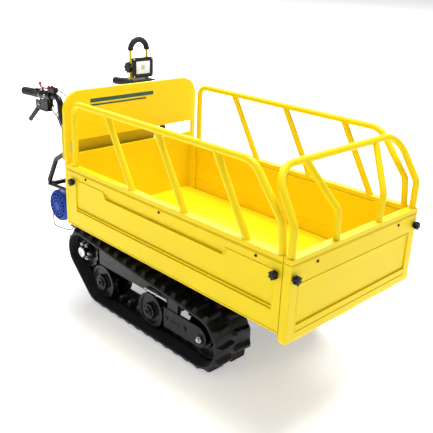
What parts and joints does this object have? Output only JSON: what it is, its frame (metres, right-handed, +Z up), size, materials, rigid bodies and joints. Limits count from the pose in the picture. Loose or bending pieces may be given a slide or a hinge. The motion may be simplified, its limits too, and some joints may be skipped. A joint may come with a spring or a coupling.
{
  "type": "power wheelbarrow",
  "caption": "Tracked electric mini dumper: drop-sided tipping tub with tube railings on rubber tracks, walk-behind handlebar with hand levers, and a work lamp",
  "frame": {"origin": "on the ground, under the middle of the bounding box", "axes": "+X to the front, the end the tub dumps over; +Y to the machine's left; +Z up"},
  "size_m": [1.7244, 0.7526, 1.077],
  "materials": {
    "yellow": "gloss powder coat",
    "black_paint": "satin powder coat",
    "wheel_paint": "black painted casting",
    "track_rubber": "moulded rubber",
    "chrome": "plated",
    "cast": "dark painted casting",
    "blue_paint": "blue painted, semi-gloss",
    "case_alloy": "black painted",
    "black_plastic": "moulded, fine grain",
    "grip_rubber": "soft moulded",
    "cable_black": "extruded sheath",
    "red_paint": "gloss",
    "lamp_alloy": "black powder coat",
    "lamp_glass": "clear, tempered"
  },
  "bodies": {
    "chassis": {"battery_box": "black_plastic", "control_pod_left": "black_plastic", "control_pod_right": "black_plastic", "drive_motor": "blue_paint", "grip_left": "grip_rubber", "grip_right": "grip_rubber", "handlebar": "black_paint", "hood": "yellow", "lamp_handle": "grip_rubber", "lamp_stand": "yellow", "lever_bracket_left": "black_paint", "lever_bracket_right": "black_paint", "main_frame": "black_paint", "motor_cable": "cable_black", "motor_cover": "blue_paint", "rear_guard": "black_paint", "reduction_case": "case_alloy", "steering_cable_left": "cable_black", "steering_cable_right": "cable_black", "tensioner_left": "chrome", "tensioner_right": "chrome", "throttle_cable": "cable_black", "throttle_hub": "black_paint", "track_frame_left": "black_paint", "track_frame_right": "black_paint", "track_left": "track_rubber", "track_right": "track_rubber", "transaxle": "cast"},
    "tub": {"tub_floor": "yellow", "rear_wall": "yellow"},
    "side_right": {"side_panel_right": "yellow", "side_railing_right": "yellow"},
    "side_left": {"side_panel_left": "yellow", "side_railing_left": "yellow"},
    "front_gate": {"front_panel": "yellow", "front_railing": "yellow"},
    "barrel": {"cylinder_barrel": "cast"},
    "rod": {"cylinder_rod": "chrome"},
    "fan": {"motor_fan": "black_plastic"},
    "lever_right": {"hand_lever_right": "grip_rubber"},
    "lever_left": {"hand_lever_left": "grip_rubber"},
    "throttle": {"red_lever": "red_paint"},
    "small_trigger": {"trigger": "black_paint"},
    "lamp": {"lamp_head": "lamp_alloy", "lamp_lens": "lamp_glass"},
    "lamp_clamp": {"lamp_knob": "black_plastic"},
    "rear_knob_right_body": {"rear_knob_right": "black_plastic"},
    "rear_knob_left_body": {"rear_knob_left": "black_plastic"},
    "front_knob_right_body": {"front_knob_right": "black_plastic"},
    "front_knob_left_body": {"front_knob_left": "black_plastic"},
    "panel_knob_right_body": {"panel_knob_right": "black_plastic"},
    "panel_knob_left_body": {"panel_knob_left": "black_plastic"},
    "sprocket_right_body": {"sprocket_right": "wheel_paint"},
    "sprocket_left_body": {"sprocket_left": "wheel_paint"},
    "idler_right_body": {"idler_right": "wheel_paint"},
    "idler_left_body": {"idler_left": "wheel_paint"},
    "rear_roller_right_body": {"rear_roller_right": "wheel_paint"},
    "rear_roller_left_body": {"rear_roller_left": "wheel_paint"},
    "front_roller_right_body": {"front_roller_right": "wheel_paint"},
    "front_roller_left_body": {"front_roller_left": "wheel_paint"}
  },
  "joints": [
    {"name": "tub_tilt", "type": "hinge", "parent": "chassis", "child": "tub", "pos_m": [0.4899, 0, 0.335], "axis": [0, 1, 0], "range_deg": [0, 45]},
    {"name": "barrel_pivot", "type": "hinge", "parent": "chassis", "child": "barrel", "pos_m": [0.2387, 0, 0.1054], "axis": [0, 1, 0], "range_deg": [-3, 1]},
    {"name": "rod_slide", "type": "slide", "parent": "barrel", "child": "rod", "axis": [0.4442, 0, 0.8959], "range_m": [0, 0.11]},
    {"name": "side_right_drop", "type": "hinge", "parent": "tub", "child": "side_right", "pos_m": [0.2399, -0.326, 0.351], "axis": [1, 0, 0], "range_deg": [0, 90]},
    {"name": "side_left_drop", "type": "hinge", "parent": "tub", "child": "side_left", "pos_m": [0.2399, 0.326, 0.351], "axis": [-1, 0, 0], "range_deg": [0, 90]},
    {"name": "front_drop", "type": "hinge", "parent": "tub", "child": "front_gate", "pos_m": [0.8159, 0, 0.321], "axis": [0, 1, 0], "range_deg": [0, 90]},
    {"name": "rear_knob_right_turn", "type": "hinge", "parent": "side_right", "child": "rear_knob_right_body", "pos_m": [-0.3131, -0.354, 0.56], "axis": [0, -1, 0], "continuous": true},
    {"name": "front_knob_right_turn", "type": "hinge", "parent": "side_right", "child": "front_knob_right_body", "pos_m": [0.7839, -0.354, 0.56], "axis": [0, -1, 0], "continuous": true},
    {"name": "panel_knob_right_turn", "type": "hinge", "parent": "front_gate", "child": "panel_knob_right_body", "pos_m": [0.8399, -0.339, 0.56], "axis": [1, 0, 0], "continuous": true},
    {"name": "sprocket_right_spin", "type": "hinge", "parent": "chassis", "child": "sprocket_right_body", "pos_m": [-0.3551, -0.225, 0.215], "axis": [0, 1, 0], "continuous": true},
    {"name": "idler_right_spin", "type": "hinge", "parent": "chassis", "child": "idler_right_body", "pos_m": [0.3999, -0.225, 0.125], "axis": [0, 1, 0], "continuous": true},
    {"name": "rear_roller_right_spin", "type": "hinge", "parent": "chassis", "child": "rear_roller_right_body", "pos_m": [-0.2391, -0.225, 0.105], "axis": [0, 1, 0], "continuous": true},
    {"name": "front_roller_right_spin", "type": "hinge", "parent": "chassis", "child": "front_roller_right_body", "pos_m": [0.0869, -0.225, 0.105], "axis": [0, 1, 0], "continuous": true},
    {"name": "hand_lever_right_pull", "type": "hinge", "parent": "chassis", "child": "lever_right", "pos_m": [-0.7161, -0.253, 0.8], "axis": [0, 1, 0], "range_deg": [0, 20], "stiffness_Nm_per_rad": 0.8, "springref_deg": -34.38},
    {"name": "rear_knob_left_turn", "type": "hinge", "parent": "side_left", "child": "rear_knob_left_body", "pos_m": [-0.3131, 0.354, 0.56], "axis": [0, 1, 0], "continuous": true},
    {"name": "front_knob_left_turn", "type": "hinge", "parent": "side_left", "child": "front_knob_left_body", "pos_m": [0.7839, 0.354, 0.56], "axis": [0, 1, 0], "continuous": true},
    {"name": "panel_knob_left_turn", "type": "hinge", "parent": "front_gate", "child": "panel_knob_left_body", "pos_m": [0.8399, 0.339, 0.56], "axis": [1, 0, 0], "continuous": true},
    {"name": "sprocket_left_spin", "type": "hinge", "parent": "chassis", "child": "sprocket_left_body", "pos_m": [-0.3551, 0.225, 0.215], "axis": [0, 1, 0], "continuous": true},
    {"name": "idler_left_spin", "type": "hinge", "parent": "chassis", "child": "idler_left_body", "pos_m": [0.3999, 0.225, 0.125], "axis": [0, 1, 0], "continuous": true},
    {"name": "rear_roller_left_spin", "type": "hinge", "parent": "chassis", "child": "rear_roller_left_body", "pos_m": [-0.2391, 0.225, 0.105], "axis": [0, 1, 0], "continuous": true},
    {"name": "front_roller_left_spin", "type": "hinge", "parent": "chassis", "child": "front_roller_left_body", "pos_m": [0.0869, 0.225, 0.105], "axis": [0, 1, 0], "continuous": true},
    {"name": "hand_lever_left_pull", "type": "hinge", "parent": "chassis", "child": "lever_left", "pos_m": [-0.7161, 0.253, 0.8], "axis": [0, 1, 0], "range_deg": [0, 20], "stiffness_Nm_per_rad": 0.8, "springref_deg": -34.38},
    {"name": "fan_spin", "type": "hinge", "parent": "chassis", "child": "fan", "pos_m": [-0.5501, -0.277, 0.371], "axis": [0, 1, 0], "continuous": true},
    {"name": "throttle_pull", "type": "hinge", "parent": "chassis", "child": "throttle", "pos_m": [-0.6321, -0.253, 0.884], "axis": [0, 1, 0], "range_deg": [0, 35]},
    {"name": "trigger_pull", "type": "hinge", "parent": "chassis", "child": "small_trigger", "pos_m": [-0.6331, -0.253, 0.823], "axis": [0, 1, 0], "range_deg": [0, 15], "stiffness_Nm_per_rad": 0.1, "springref_deg": -22.92},
    {"name": "lamp_tilt", "type": "hinge", "parent": "chassis", "child": "lamp", "pos_m": [-0.6281, 0.225, 0.938], "axis": [0, 1, 0], "range_deg": [-12, 15]},
    {"name": "lamp_knob_turn", "type": "hinge", "parent": "lamp", "child": "lamp_clamp", "pos_m": [-0.6281, 0.163, 0.938], "axis": [0, -1, 0], "continuous": true}
  ],
  "couplings": [
    {"joint": "barrel_pivot", "follows": "tub_tilt", "ratio": -0.0241},
    {"joint": "rod_slide", "follows": "tub_tilt", "m_per_rad": 0.12937},
    {"joint": "idler_right_spin", "follows": "sprocket_right_spin", "ratio": 0.82292},
    {"joint": "rear_roller_right_spin", "follows": "sprocket_right_spin", "ratio": 1.0395},
    {"joint": "front_roller_right_spin", "follows": "sprocket_right_spin", "ratio": 1.0395},
    {"joint": "idler_left_spin", "follows": "sprocket_left_spin", "ratio": 0.82292},
    {"joint": "rear_roller_left_spin", "follows": "sprocket_left_spin", "ratio": 1.0395},
    {"joint": "front_roller_left_spin", "follows": "sprocket_left_spin", "ratio": 1.0395}
  ]
}
